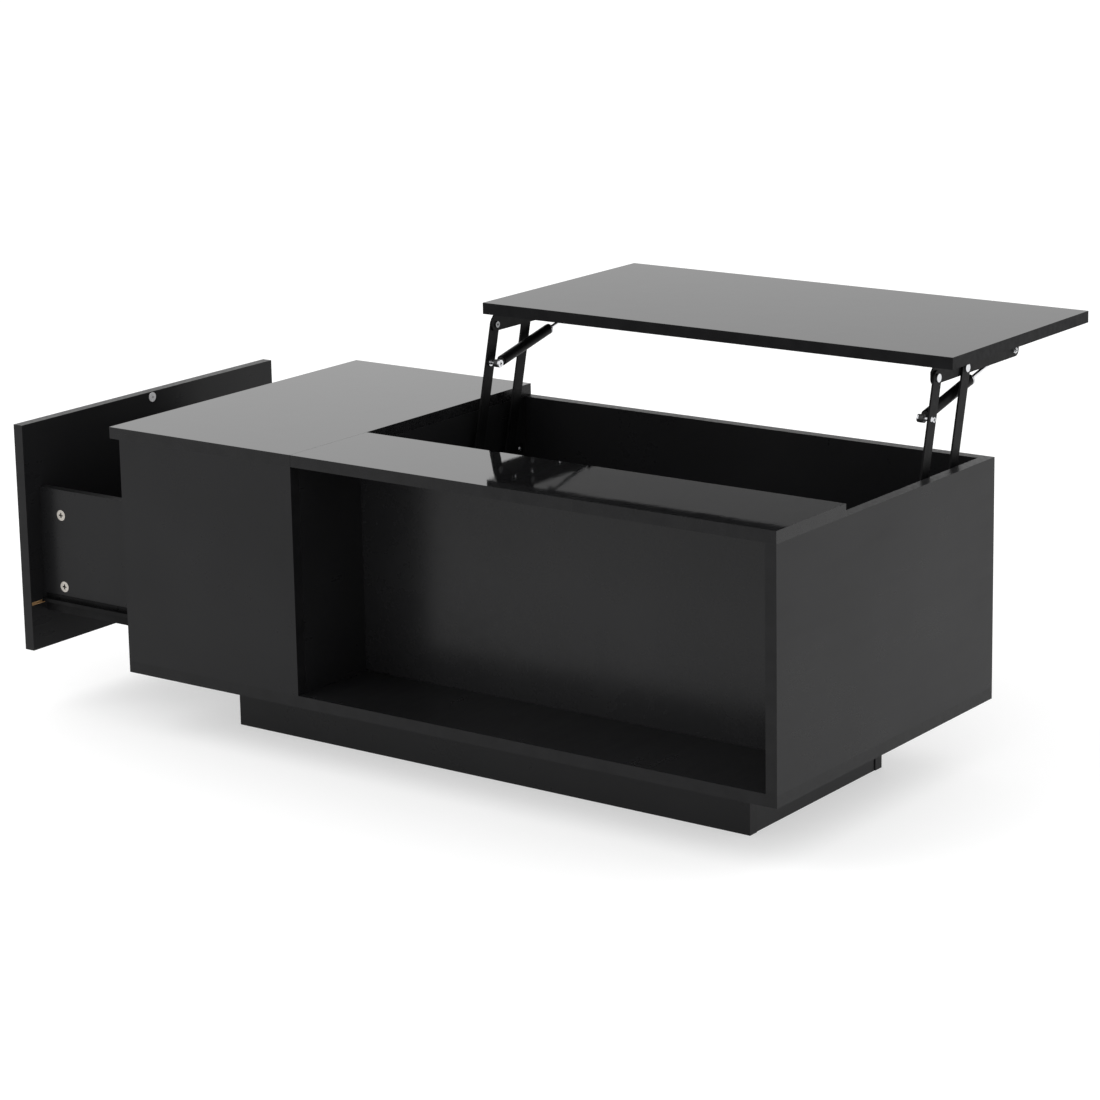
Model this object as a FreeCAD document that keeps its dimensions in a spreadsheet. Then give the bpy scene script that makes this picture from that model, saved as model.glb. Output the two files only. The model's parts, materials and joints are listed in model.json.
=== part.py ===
"""Lift top coffee table: a gloss black cabinet on a recessed plinth, with a lift top over a storage
well, an open front shelf and one deep drawer that pulls out of the left end.

Frame, in millimetres: the origin is on the floor at the middle of the cabinet's footprint, +X runs
along the table to the right, +Y to the back and +Z up. The lift top is modelled raised and the drawer
pulled out.
"""
import FreeCAD, Part
import math
import os
import re
import Sketcher
from FreeCAD import Placement, Rotation, Vector

DIMENSIONS = {
    # cabinet
    "body_length": 1181, "depth": 595, "board": 18, "plinth_height": 96, "panel_height": 350,
    "module_length": 840, "front_top_depth": 177.5, "drawer_gap": 1.5, "seam_step": 0.5,
    "plinth_inset_ends": 119, "plinth_inset_sides": 117.5, "plinth_step": 1.5,
    "rail_depth": 80, "rail_setback": 4,
    # lift top and its motion
    "lift_gap": 1.5, "lift_side_gap": 2, "lift_end_gap": 1, "lift_rest_gap": 0.4,
    "lift_shift": 291, "lift_raise": 151,
    # lift mechanism
    "arm_length": 247.5, "arm_width": 21.5, "arm_thickness": 3, "arm_spacing": 84, "arm_offset": 15,
    "pivot_setback": 12, "pivot_drop": 16.8, "pin_radius": 4, "pin_clearance": 0.05,
    "top_plate": 2.5, "top_flange": 25, "top_bracket_depth": 26.8, "top_bracket_length": 259.5,
    "bracket_round": 10, "bracket_cut": 7, "plate_gap": 0.5, "rivet_radius": 6.2, "rivet_head": 2,
    "tail_radius": 5, "tail_hollow": 1.8,
    "base_plate": 2, "base_length": 168, "base_height": 50, "base_front": 22.7, "base_drop": 18.9,
    "base_lip_height": 44, "base_lip_length": 136, "shoulder_radius": 7, "stop_radius": 4, "stop_reach": 22,
    # gas spring
    "spring_reach": 60.3, "spring_span": 233, "spring_inset": 15, "neck_radius": 3,
    "eye_radius": 6.2, "eye_width": 7, "eye_neck": 3.3, "eye_collar": 6.6, "collar_start": 7.5,
    "eye_length": 11,
    "tube_radius": 8.2, "tube_length": 132, "spring_rod_radius": 3, "stud_cap": 6.1, "cap_height": 3,
    "stud_flange": 5.6, "stud_head": 5.4, "nut_radius": 5.2, "nut_height": 3.2, "stud_gap": 0.3,
    # drawer
    "drawer_out": 205, "front_low": 1, "front_high": 2, "side_low": 64, "side_height": 198,
    "side_board": 15, "side_gap": 13, "box_length": 310, "base_sheet": 5, "base_level": 74.5,
    "groove": 6, "cam_radius": 8.5, "cam_depth": 12.5, "cam_setback": 44, "cam_low": 105, "cam_high": 221,
    # roller slides
    "steel": 1.2, "slide_length": 300, "roller_radius": 7, "roller_width": 6.4, "axle_radius": 2,
    # push latch
    "latch_level": 11, "latch_radius": 5, "latch_length": 46, "latch_flange": 8, "plunger_radius": 3,
    "plunger_length": 30, "strike_radius": 7.6, "strike_plate": 1.5,
    # screws
    "screw_radius": 2, "screw_head": 4, "screw_height": 2.4, "screw_length": 14,
}

# Levels and faces of the table, as expressions of the sheet's words
LEFT = "(-body_length / 2)"
RIGHT = "(body_length / 2)"
FRONT = "(-depth / 2)"
REAR = "(depth / 2)"
DECK = "(plinth_height + board)"
PANEL_TOP = "(plinth_height + board + panel_height)"
SEAM = "(body_length / 2 - module_length)"
TOP_END = "(-body_length / 2 - drawer_gap - board)"
INNER_FRONT = "(-depth / 2 + board)"
INNER_REAR = "(depth / 2 - board)"
INNER_RIGHT = "(body_length / 2 - board)"
DIVIDER_FACE = f"({SEAM} + seam_step)"
DIVIDER_BACK = f"({DIVIDER_FACE} - board)"
WELL_FRONT = "(-depth / 2 + front_top_depth)"

# Lift mechanism: the front arm leans back from the vertical by LEAN when the top is raised
CHORD = "sqrt(lift_shift * lift_shift + lift_raise * lift_raise)"
HALF_SWING = f"asin({CHORD} / (2 * arm_length))"
LEAN = f"({HALF_SWING} - atan(lift_raise / lift_shift))"
UNDERSIDE = f"({PANEL_TOP} + lift_rest_gap + lift_raise)"
LIFT_FRONT = f"({WELL_FRONT} + lift_gap + lift_shift)"
TOP_PIVOT_Y = f"({LIFT_FRONT} + pivot_setback)"
TOP_PIVOT_Z = f"({UNDERSIDE} - pivot_drop)"
BASE_PIVOT_Y = f"({TOP_PIVOT_Y} - arm_length * sin({LEAN}))"
BASE_PIVOT_Z = f"({TOP_PIVOT_Z} - arm_length * cos({LEAN}))"
SPRING_LOW_Y = f"({TOP_PIVOT_Y} - spring_reach * sin({LEAN}))"
SPRING_LOW_Z = f"({TOP_PIVOT_Z} - spring_reach * cos({LEAN}))"
SPRING_TOP_Y = f"({TOP_PIVOT_Y} + spring_span)"
SPRING_TILT = f"atan(({SPRING_TOP_Y} - {SPRING_LOW_Y}) / ({TOP_PIVOT_Z} - {SPRING_LOW_Z}))"

# Push latch, drawer pulled out
LATCH_Z = f"({PANEL_TOP} - latch_level)"
DRAWER_INNER = "(-body_length / 2 - drawer_gap - drawer_out)"
DRAWER_LOW = "(plinth_height + side_low)"
DRAWER_TOP = "(plinth_height + side_low + side_height)"
BASE_SHEET_LOW = "(plinth_height + base_level)"

doc = FreeCAD.newDocument("lift_top_table")
sheet = doc.addObject("Spreadsheet::Sheet", "dims")
for row, (word, value) in enumerate(DIMENSIONS.items(), start=1):
    sheet.set(f"A{row}", word)
    sheet.set(f"B{row}", str(value))
    sheet.setAlias(f"B{row}", word)
doc.recompute()

PARTS = []
WORD = re.compile(r"\b(" + "|".join(DIMENSIONS) + r")\b")


def bound(expression):
    """The expression with each word pointing at its cell in the sheet."""
    return WORD.sub(r"dims.\1", str(expression))


def number(expression):
    """The value of an expression now, as a plain number."""
    value = sheet.evalExpression(bound(expression))
    return float(getattr(value, "Value", value))


def keep(part, label):
    """Gives a finished sub-part its label and adds it to the files to write."""
    part.Label = label
    PARTS.append(part)
    return part


class Piece:
    """A PartDesign body whose own origin stands at a corner given in the table's frame."""

    def __init__(self, label, corner, turn=None):
        self.body = keep(doc.addObject("PartDesign::Body", label), label)
        self.corner = corner
        self.body.Placement = Placement(Vector(*[number(c) for c in corner]), Rotation(Vector(1, 0, 0), 1))
        for axis, value in zip("xyz", corner):
            self.body.setExpression(f"Placement.Base.{axis}", bound(value))
        self.body.setExpression("Placement.Rotation.Angle", bound(turn or "0"))

    def sketch(self, plane, level):
        """A sketch on an origin plane of this body, moved to a level along that plane's axis."""
        body = self.body
        index = len(body.Group)
        sketch = body.newObject("Sketcher::SketchObject", f"{body.Name}_sketch_{index}")
        origin_plane = next(f for f in body.Origin.OriginFeatures if f.Role == f"{plane}_Plane")
        sketch.AttachmentSupport = [(origin_plane, "")]
        sketch.MapMode = "FlatFace"
        sign = "-" if plane == "XZ" else ""
        sketch.setExpression("AttachmentOffset.Base.z", bound(f"{sign}({level})"))
        return sketch

    def feature(self, kind, plane, level, shapes, length, toward):
        """Pads or pockets shapes from a level, toward the plus or minus end of the plane's axis."""
        sketch = self.sketch(plane, level)
        for draw, *values in shapes:
            draw(sketch, *values)
        feature = self.body.newObject(f"PartDesign::{kind}", f"{self.body.Name}_{kind}_{len(self.body.Group)}")
        feature.Profile = sketch
        feature.setExpression("Length", bound(length))
        normal = -1 if plane == "XZ" else 1
        forward = normal if kind == "Pad" else -normal
        feature.Reversed = toward != forward
        return feature

    def pad(self, plane, level, shapes, length, toward=1):
        return self.feature("Pad", plane, level, shapes, length, toward)

    def pocket(self, plane, level, shapes, length, toward):
        """Cuts shapes and makes sure that the cut took something away."""
        doc.recompute()
        before = self.body.Shape.Volume
        feature = self.feature("Pocket", plane, level, shapes, length, toward)
        doc.recompute()
        if self.body.Shape.Volume > before - 1e-3:
            raise RuntimeError(f"{self.body.Label}: {feature.Name} cuts nothing")
        return feature


def pin_point(sketch, geometry, point, x, y):
    """Holds a sketch point at x, y from the sketch's origin."""
    for kind, axis, value in (("DistanceX", -2, x), ("DistanceY", -1, y)):
        if str(value) == "0":
            sketch.addConstraint(Sketcher.Constraint("PointOnObject", geometry, point, axis))
            continue
        rule = Sketcher.Constraint(kind, -1, 1, geometry, point, number(value))
        index = sketch.addConstraint(rule)
        sketch.setExpression(f"Constraints[{index}]", bound(value))


def outline(sketch, points):
    """A closed outline of straight lines through points."""
    corners = [Vector(number(x), number(y), 0) for x, y in points]
    first = sketch.GeometryCount
    count = len(points)
    for i in range(count):
        sketch.addGeometry(Part.LineSegment(corners[i], corners[(i + 1) % count]), False)
    for i in range(count):
        sketch.addConstraint(Sketcher.Constraint("Coincident", first + i, 2, first + (i + 1) % count, 1))
    for i, (x, y) in enumerate(points):
        pin_point(sketch, first + i, 1, x, y)


def rectangle(sketch, x_low, x_high, y_low, y_high):
    outline(sketch, [(x_low, y_low), (x_high, y_low), (x_high, y_high), (x_low, y_high)])


def circle(sketch, x, y, radius):
    centre = Vector(number(x), number(y), 0)
    index = sketch.addGeometry(Part.Circle(centre, Vector(0, 0, 1), number(radius)), False)
    pin_point(sketch, index, 3, x, y)
    rule = sketch.addConstraint(Sketcher.Constraint("Radius", index, number(radius)))
    sketch.setExpression(f"Constraints[{rule}]", bound(radius))


def link_bar(sketch, length, radius):
    """A straight bar with round ends, from the sketch's origin up its second axis."""
    long, r = number(length), number(radius)
    up = Vector(0, 0, 1)
    sketch.addGeometry(Part.LineSegment(Vector(-r, 0, 0), Vector(-r, long, 0)), False)
    sketch.addGeometry(Part.ArcOfCircle(Part.Circle(Vector(0, long, 0), up, r), 0, math.pi), False)
    sketch.addGeometry(Part.LineSegment(Vector(r, long, 0), Vector(r, 0, 0)), False)
    sketch.addGeometry(Part.ArcOfCircle(Part.Circle(Vector(0, 0, 0), up, r), math.pi, 2 * math.pi), False)
    for first, first_end, second, second_end in ((0, 2, 1, 2), (1, 1, 2, 1), (2, 2, 3, 2), (3, 1, 0, 1)):
        sketch.addConstraint(Sketcher.Constraint("Tangent", first, first_end, second, second_end))
    sketch.addConstraint(Sketcher.Constraint("Coincident", 3, 3, -1, 1))
    sketch.addConstraint(Sketcher.Constraint("PointOnObject", 1, 3, -2))
    for kind, arguments, value in (("DistanceY", (3, 3, 1, 3), length), ("Radius", (1,), radius)):
        index = sketch.addConstraint(Sketcher.Constraint(kind, *arguments, number(value)))
        sketch.setExpression(f"Constraints[{index}]", bound(value))


def bracket_plate(sketch, length, depth, radius, cut):
    """A plate that hangs below the sketch's first axis: lower corners round, front upper corner cut off."""
    long, deep, r, c = (number(v) for v in (length, depth, radius, cut))
    up = Vector(0, 0, 1)
    for start, end in (((long, 0), (c, 0)), ((c, 0), (0, -c)), ((0, -c), (0, r - deep)),
                       ((r, -deep), (long - r, -deep)), ((long, r - deep), (long, 0))):
        sketch.addGeometry(Part.LineSegment(Vector(*start, 0), Vector(*end, 0)), False)
    for x, first in ((r, math.pi), (long - r, 1.5 * math.pi)):
        corner = Part.Circle(Vector(x, r - deep, 0), up, r)
        sketch.addGeometry(Part.ArcOfCircle(corner, first, first + math.pi / 2), False)
    for first, second in ((0, 1), (1, 2), (4, 0)):
        sketch.addConstraint(Sketcher.Constraint("Coincident", first, 2, second, 1))
    for rule in ((2, 2, 5, 1), (5, 2, 3, 1), (3, 2, 6, 1), (6, 2, 4, 1)):
        sketch.addConstraint(Sketcher.Constraint("Tangent", *rule))
    for rule in (("Horizontal", 3), ("Vertical", 2)):
        sketch.addConstraint(Sketcher.Constraint(*rule))
    pin_point(sketch, 0, 1, length, "0")
    pin_point(sketch, 1, 1, cut, "0")
    pin_point(sketch, 1, 2, "0", f"-{cut}")
    pin_point(sketch, 5, 3, radius, f"({radius}) - ({depth})")
    pin_point(sketch, 4, 1, length, f"({radius}) - ({depth})")


def board(label, x, y, z):
    """A flat board between pairs of low and high faces along each axis."""
    piece = Piece(label, (x[0], y[0], z[0]))
    size = [f"({high}) - ({low})" for low, high in (x, y, z)]
    piece.pad("XY", "0", [(rectangle, "0", size[0], "0", size[1])], size[2])
    return piece


def drill(piece, plane, level, holes, radius, depth, toward):
    """Round holes at places given in the table's frame."""
    first, second, along = {"XY": (0, 1, 2), "XZ": (0, 2, 1), "YZ": (1, 2, 0)}[plane]
    corner = piece.corner
    places = [(f"({a}) - ({corner[first]})", f"({b}) - ({corner[second]})") for a, b in holes]
    shapes = [(circle, a, b, radius) for a, b in places]
    piece.pocket(plane, f"({level}) - ({corner[along]})", shapes, depth, toward)


def turned(steps, start, axis):
    """A round pin from start along axis: steps are (length, radius) pairs."""
    solids = []
    place = Vector(start)
    for length, radius in steps:
        solids.append(Part.makeCylinder(radius, length, place, axis))
        place = place + Vector(axis) * length
    shape = solids[0].multiFuse(solids[1:]) if len(solids) > 1 else solids[0]
    return shape.removeSplitter()


def cross_slot(head, axis, radius, depth):
    """A cross recess for a driver, as the solid to cut from a head whose top face is at head."""
    width = radius * 0.36
    turn = Rotation(Vector(0, 0, 1), Vector(axis))
    bars = [Part.makeBox(2 * radius * 0.62, width, depth, Vector(-radius * 0.62, -width / 2, -depth)),
            Part.makeBox(width, 2 * radius * 0.62, depth, Vector(-width / 2, -radius * 0.62, -depth))]
    recess = bars[0].fuse(bars[1])
    recess.Placement = Placement(Vector(head), turn)
    return recess


def screw(head_base, axis, head_radius, head_height, radius, length):
    """A pan head screw whose head stands on head_base along axis, with its shank behind it."""
    axis = Vector(axis)
    base = Vector(head_base)
    head = Part.makeCone(head_radius, head_radius * 0.72, head_height, base, axis)
    shank = Part.makeCylinder(radius, length, base - axis * length, axis)
    recess = cross_slot(base + axis * head_height, axis, head_radius * 0.75, head_height * 0.6)
    return head.fuse(shank).cut(recess)


def group(label, solids):
    """Identical small solids that share one node."""
    feature = doc.addObject("Part::Feature", label)
    feature.Shape = Part.makeCompound(solids) if len(solids) > 1 else solids[0]
    feature.Placement = Placement(Vector(0, 0, 0), Rotation())
    return keep(feature, label)


# ---------------------------------------------------------------- cabinet

def build_cabinet():
    """The fixed boards of the cabinet and its plinth."""
    cam_places = [(x, f"{DECK} + 34") for x in ("60", "470")]
    across = (FRONT, REAR)
    upright = (DECK, PANEL_TOP)
    board("bottom_board", (LEFT, RIGHT), across, ("plinth_height", DECK))
    side = board("right_side_panel", (INNER_RIGHT, RIGHT), across, upright)
    drill(side, "YZ", INNER_RIGHT, base_screw_places(), "screw_radius", "screw_length", 1)
    back = board("back_panel", (LEFT, INNER_RIGHT), (INNER_REAR, REAR), upright)
    drill(back, "XZ", INNER_REAR, cam_places, "cam_radius", "cam_depth", 1)
    divider = board("divider_panel", (DIVIDER_BACK, DIVIDER_FACE), (INNER_FRONT, INNER_REAR), upright)
    drill(divider, "YZ", DIVIDER_FACE, base_screw_places(), "screw_radius", "screw_length", -1)
    bay_end = f"({SEAM} - seam_step)"
    bay = board("drawer_bay_front_panel", (LEFT, bay_end), (FRONT, INNER_FRONT), upright)
    drill(bay, "XZ", INNER_FRONT, slide_screw_places(), "screw_radius", "screw_length", -1)
    drill(back, "XZ", INNER_REAR, slide_screw_places(), "screw_radius", "screw_length", 1)
    shelf_y = (f"{WELL_FRONT} - board", WELL_FRONT)
    shelf = board("shelf_back_panel", (DIVIDER_FACE, INNER_RIGHT), shelf_y, upright)
    drill(shelf, "XZ", WELL_FRONT, cam_places, "cam_radius", "cam_depth", -1)
    top = (PANEL_TOP, f"{PANEL_TOP} + board")
    board("left_top_board", (TOP_END, f"{SEAM} - 0.2"), across, top)
    board("front_top_board", (f"{SEAM} + 0.2", RIGHT), (FRONT, WELL_FRONT), top)
    rail = board("drawer_bay_rail", (f"{LEFT} + rail_setback", f"{LEFT} + rail_setback + rail_depth"),
                 (INNER_FRONT, INNER_REAR), (f"{PANEL_TOP} - board", PANEL_TOP))
    drill(rail, "YZ", f"{LEFT} + rail_setback", [("0", LATCH_Z)], "latch_radius", "latch_length", 1)
    cams = [cam_lock((x, WELL_FRONT, z), (0, 1, 0)) for x, z in cam_places]
    cams += [cam_lock((x, INNER_REAR, z), (0, -1, 0)) for x, z in cam_places]
    group("carcass_cam_locks", cams)


def build_plinth():
    """A recessed ring of boards with a brace across its middle."""
    x_low, x_high = f"({LEFT} + plinth_inset_ends)", f"({RIGHT} - plinth_inset_ends)"
    y_low, y_high = f"({FRONT} + plinth_inset_sides)", f"({REAR} - plinth_inset_sides)"
    z = ("0", "plinth_height")
    between = (f"{y_low} + board", f"{y_high} - board")
    board("plinth_front_board", (x_low, x_high), (y_low, f"{y_low} + board"), z)
    board("plinth_rear_board", (x_low, x_high), (f"{y_high} - board", y_high), z)
    board("plinth_left_board", (f"{x_low} + plinth_step", f"{x_low} + plinth_step + board"), between, z)
    board("plinth_right_board", (f"{x_high} - plinth_step - board", f"{x_high} - plinth_step"), between, z)
    board("plinth_centre_brace", ("-board / 2", "board / 2"), between, z)


def cam_lock(centre, axis):
    """A cam lock flush with the face it is let into, with a cross recess."""
    radius, depth = number("cam_radius"), number("cam_depth")
    face = Vector(*[number(c) for c in centre])
    axis = Vector(axis)
    cam = Part.makeCylinder(radius, depth, face - axis * depth, axis)
    return cam.cut(cross_slot(face, axis, radius * 0.8, 3))


# ---------------------------------------------------------------- lift mechanism

def base_screw_places():
    """Where the base brackets are screwed to the walls of the well, as Y and Z."""
    front = f"({BASE_PIVOT_Y} - base_front)"
    low = f"({BASE_PIVOT_Z} - base_drop)"
    return [(f"{front} + 10", f"{low} + base_height - 8"),
            (f"{front} + 64", f"{low} + base_height - 8"),
            (f"{front} + base_length - 9", f"{low} + base_height - 8"),
            (f"{front} + base_length - 9", f"{low} + 9")]


def mirrored(wall, side, offset):
    """A place at a distance from a wall of the well: side is +1 when the well lies toward +X."""
    return f"({wall} + ({side}) * ({offset}))"


def pair(wall, side, near, far):
    """Low and high X of a thing between two distances from a wall of the well."""
    places = [mirrored(wall, side, near), mirrored(wall, side, far)]
    return places if side > 0 else places[::-1]


ARM_NEAR = "(arm_offset - arm_thickness / 2)"
ARM_FAR = "(arm_offset + arm_thickness / 2)"
PLATE_NEAR = f"({ARM_FAR} + plate_gap)"
PLATE_FAR = f"({PLATE_NEAR} + top_plate)"
LIP_NEAR = f"({ARM_FAR} + plate_gap)"
LIP_FAR = f"({LIP_NEAR} + base_plate)"
SPRING_AT = "(arm_offset + spring_inset)"
HANDS = (("left", DIVIDER_FACE, 1), ("right", INNER_RIGHT, -1))
PIVOTS = (TOP_PIVOT_Y, f"({TOP_PIVOT_Y} + arm_spacing)")
BASE_PIVOTS = (BASE_PIVOT_Y, f"({BASE_PIVOT_Y} + arm_spacing)")
HOLE = "pin_radius + pin_clearance"
NECK_HOLE = "neck_radius + pin_clearance"


def build_base_brackets():
    """A folded channel on each wall of the well: wall plate, floor web and a lip for the pivots."""
    front = f"({BASE_PIVOT_Y} - base_front)"
    low = f"({BASE_PIVOT_Z} - base_drop)"
    for hand, wall, side in HANDS:
        x_wall = pair(wall, side, "0", "base_plate")
        x_web = pair(wall, side, "base_plate", LIP_NEAR)
        x_lip = pair(wall, side, LIP_NEAR, LIP_FAR)
        piece = Piece(f"lift_base_bracket_{hand}", (x_wall[0], front, low))

        def local(x):
            return [f"({x[0]}) - ({x_wall[0]})", f"({x[1]}) - ({x[0]})"]

        shapes = ((x_wall, "base_length", "base_height"), (x_web, "base_lip_length", "base_plate"),
                  (x_lip, "base_lip_length", "base_lip_height"))
        for x, length, height in shapes:
            start, width = local(x)
            piece.pad("YZ", start, [(rectangle, "0", length, "0", height)], width)
        holes = [(y, BASE_PIVOT_Z) for y in BASE_PIVOTS]
        drill(piece, "YZ", x_lip[0], holes, "pin_radius", "base_plate", 1)
        drill(piece, "YZ", x_wall[0], holes, "pin_radius", "base_plate", 1)
        drill(piece, "YZ", x_wall[0], base_screw_places(), "screw_radius", "base_plate", 1)


def build_base_hardware():
    """Shouldered pivot pins, stop pins and screws of the base brackets."""
    pins, stops, screws = [], [], []
    shoulder = number(f"{ARM_NEAR} - base_plate - 0.3")
    for hand, wall, side in HANDS:
        axis = Vector(side, 0, 0)
        for y in BASE_PIVOTS:
            start = Vector(number(wall), number(y), number(BASE_PIVOT_Z))
            steps = [(number("base_plate"), number("pin_radius")), (shoulder, number("shoulder_radius")),
                     (number(f"{LIP_FAR} - {ARM_NEAR}") + 0.3, number("pin_radius")),
                     (number("rivet_head"), number("tail_radius"))]
            end = start + axis * sum(length for length, _ in steps)
            hollow = Part.makeCylinder(number("tail_hollow"), 2.5, end, -axis)
            pins.append(turned(steps, start, axis).cut(hollow))
        lean = math.radians(number(LEAN))
        reach = number("stop_reach")
        off = number("arm_width / 2 + stop_radius + 0.2")
        stop_y = number(BASE_PIVOTS[1]) + reach * math.sin(lean) + off * math.cos(lean)
        stop_z = number(BASE_PIVOT_Z) + reach * math.cos(lean) - off * math.sin(lean)
        length = number(f"{LIP_NEAR} - base_plate")
        start = Vector(number(mirrored(wall, side, "base_plate")), stop_y, stop_z)
        stops.append(turned([(length, number("stop_radius"))], start, axis))
        for y, z in base_screw_places():
            head = Vector(number(mirrored(wall, side, "base_plate")), number(y), number(z))
            screws.append(screw(head, axis, number("screw_head"), number("screw_height"),
                                number("screw_radius"), number("screw_length + base_plate")))
    group("base_pivot_pins", pins)
    group("base_stop_pins", stops)
    group("base_bracket_screws", screws)


def build_arms():
    """Two parallel flat bars on each side, leaning back when the top is up."""
    for hand, wall, side in HANDS:
        x = pair(wall, side, ARM_NEAR, ARM_FAR)
        for name, y in (("front", BASE_PIVOTS[0]), ("rear", BASE_PIVOTS[1])):
            piece = Piece(f"lift_{name}_arm_{hand}", (x[0], y, BASE_PIVOT_Z), turn=f"-{LEAN}")
            piece.pad("YZ", "0", [(link_bar, "arm_length", "arm_width / 2")], "arm_thickness")
            holes = [(circle, "0", "0", HOLE), (circle, "0", "arm_length", HOLE)]
            if name == "front":
                holes.append((circle, "0", "arm_length - spring_reach", "neck_radius"))
            piece.pocket("YZ", "0", holes, "arm_thickness", 1)


def build_top_brackets():
    """An angle under each end of the lift top, with rounded lower corners."""
    for hand, wall, side in HANDS:
        x_plate = pair(wall, side, PLATE_NEAR, PLATE_FAR)
        x_flange = pair(wall, side, PLATE_FAR, f"{PLATE_NEAR} + top_flange")
        piece = Piece(f"top_bracket_{hand}", (x_plate[0], LIFT_FRONT, UNDERSIDE))
        plate = [(bracket_plate, "top_bracket_length", "top_bracket_depth", "bracket_round", "bracket_cut")]
        piece.pad("YZ", "0", plate, "top_plate")
        start = f"({x_flange[0]}) - ({x_plate[0]})"
        flange = [(rectangle, "bracket_cut + 3", "top_bracket_length", "-top_plate", "0")]
        piece.pad("YZ", start, flange, f"({x_flange[1]}) - ({x_flange[0]})")
        holes = [(y, TOP_PIVOT_Z) for y in PIVOTS]
        drill(piece, "YZ", x_plate[0], holes, "pin_radius", "top_plate", 1)
        drill(piece, "YZ", x_plate[0], [(SPRING_TOP_Y, TOP_PIVOT_Z)], "neck_radius", "top_plate", 1)
        drill(piece, "XY", UNDERSIDE, top_screw_places(wall, side), "screw_radius", "top_plate", -1)


def top_screw_places(wall, side):
    """Where a top bracket is screwed up into the lift top, as X and Y."""
    x = mirrored(wall, side, f"{PLATE_NEAR} + top_flange - 9")
    return [(x, f"{LIFT_FRONT} + {along}") for along in ("30", "75", "150", "215")]


def build_lift_top():
    """The moving panel, its bracket screws and the pivot rivets."""
    x = (f"({SEAM} + lift_side_gap)", f"({RIGHT} - lift_end_gap)")
    depth = "(depth - front_top_depth - lift_gap)"
    y, z = (LIFT_FRONT, f"{LIFT_FRONT} + {depth}"), (UNDERSIDE, f"{UNDERSIDE} + board")
    panel = board("lift_top_panel", x, y, z)
    screws, rivets, nuts = [], [], []
    for hand, wall, side in HANDS:
        places = top_screw_places(wall, side)
        drill(panel, "XY", UNDERSIDE, places, "screw_radius", "screw_length - top_plate", 1)
        for a, b in places:
            head = Vector(number(a), number(b), number(f"{UNDERSIDE} - top_plate"))
            screws.append(screw(head, (0, 0, -1), number("screw_head"), number("screw_height"),
                                number("screw_radius"), number("screw_length")))
        outward = Vector(-side, 0, 0)
        for y in PIVOTS:
            inner = number(mirrored(wall, side, f"{PLATE_FAR} + rivet_head"))
            start = Vector(inner, number(y), number(TOP_PIVOT_Z))
            shank = number(f"{PLATE_FAR} - {ARM_NEAR}") + 0.3
            rivet = turned([(number("rivet_head"), number("tail_radius")), (shank, number("pin_radius")),
                            (number("rivet_head"), number("rivet_radius"))], start, outward)
            rivets.append(rivet.cut(Part.makeCylinder(number("tail_hollow"), 2.5, start, outward)))
        face = Vector(number(mirrored(wall, side, PLATE_NEAR)), number(SPRING_TOP_Y), number(TOP_PIVOT_Z))
        nuts.append(hex_nut(face, outward))
    group("top_bracket_screws", screws)
    group("top_pivot_rivets", rivets)
    group("spring_stud_nuts", nuts)


def hex_nut(face, axis):
    """A hexagon nut with a hollow thread end, standing on face along axis."""
    radius, height, bolt = number("nut_radius"), number("nut_height"), number("neck_radius")
    points = [Vector(radius * math.cos(math.radians(a)), radius * math.sin(math.radians(a)), 0)
              for a in range(0, 361, 60)]
    nut = Part.Face(Part.makePolygon(points)).extrude(Vector(0, 0, height))
    nut = nut.common(Part.makeCone(radius * 1.18, radius * 0.86, height, Vector(0, 0, 0), Vector(0, 0, 1)))
    nut = nut.fuse(Part.makeCylinder(bolt, height + 1.5))
    nut = nut.cut(Part.makeCylinder(bolt * 0.55, 2, Vector(0, 0, height)))
    nut.Placement = Placement(Vector(face), Rotation(Vector(0, 0, 1), Vector(axis)))
    return nut


# ---------------------------------------------------------------- gas springs

def along_spring(distance):
    """Y and Z of a point on the spring's axis, at a distance above its lower stud."""
    return (f"({SPRING_LOW_Y} + ({distance}) * sin({SPRING_TILT}))",
            f"({SPRING_LOW_Z} + ({distance}) * cos({SPRING_TILT}))")


def spring_direction():
    tilt = math.radians(number(SPRING_TILT))
    return Vector(0, math.sin(tilt), math.cos(tilt))


def spring_eye(centre, axis, opening):
    """An eye that turns on a stud, with a neck along axis that ends in a collar."""
    width, reach, start = (number(v) for v in ("eye_width", "eye_length", "collar_start"))
    centre, axis, opening = Vector(centre), Vector(axis), Vector(opening)
    barrel = Part.makeCylinder(number("eye_radius"), width, centre - opening * (width / 2), opening)
    neck = Part.makeCylinder(number("eye_neck"), reach, centre, axis)
    collar = Part.makeCylinder(number("eye_collar"), reach - start, centre + axis * start, axis)
    hole = Part.makeCylinder(number(NECK_HOLE), width + 2, centre - opening * (width / 2 + 1), opening)
    return barrel.fuse(neck).fuse(collar).removeSplitter().cut(hole)


def shoulder_stud(centre, opening, reach, flange_height, bolt_end):
    """A stud through an eye, along opening: a cross-slotted cap at its back, a flange and a bolt end."""
    neck, height = number("neck_radius"), number("cap_height")
    centre, opening = Vector(centre), Vector(opening)
    back = centre - opening * (number("eye_width") / 2 + number("stud_gap"))
    cap = Part.makeCylinder(number("stud_cap"), height, back - opening * height, opening)
    cap = cap.cut(cross_slot(back - opening * height, -opening, number("stud_cap") * 0.8, 1.5))
    shank_length = number("eye_width / 2 + stud_gap") + reach + bolt_end
    shank = Part.makeCylinder(neck, shank_length, back, opening)
    flange_start = centre + opening * (reach - flange_height)
    flange = Part.makeCylinder(number("stud_flange"), flange_height, flange_start, opening)
    return cap.fuse(shank).fuse(flange).removeSplitter()


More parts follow.
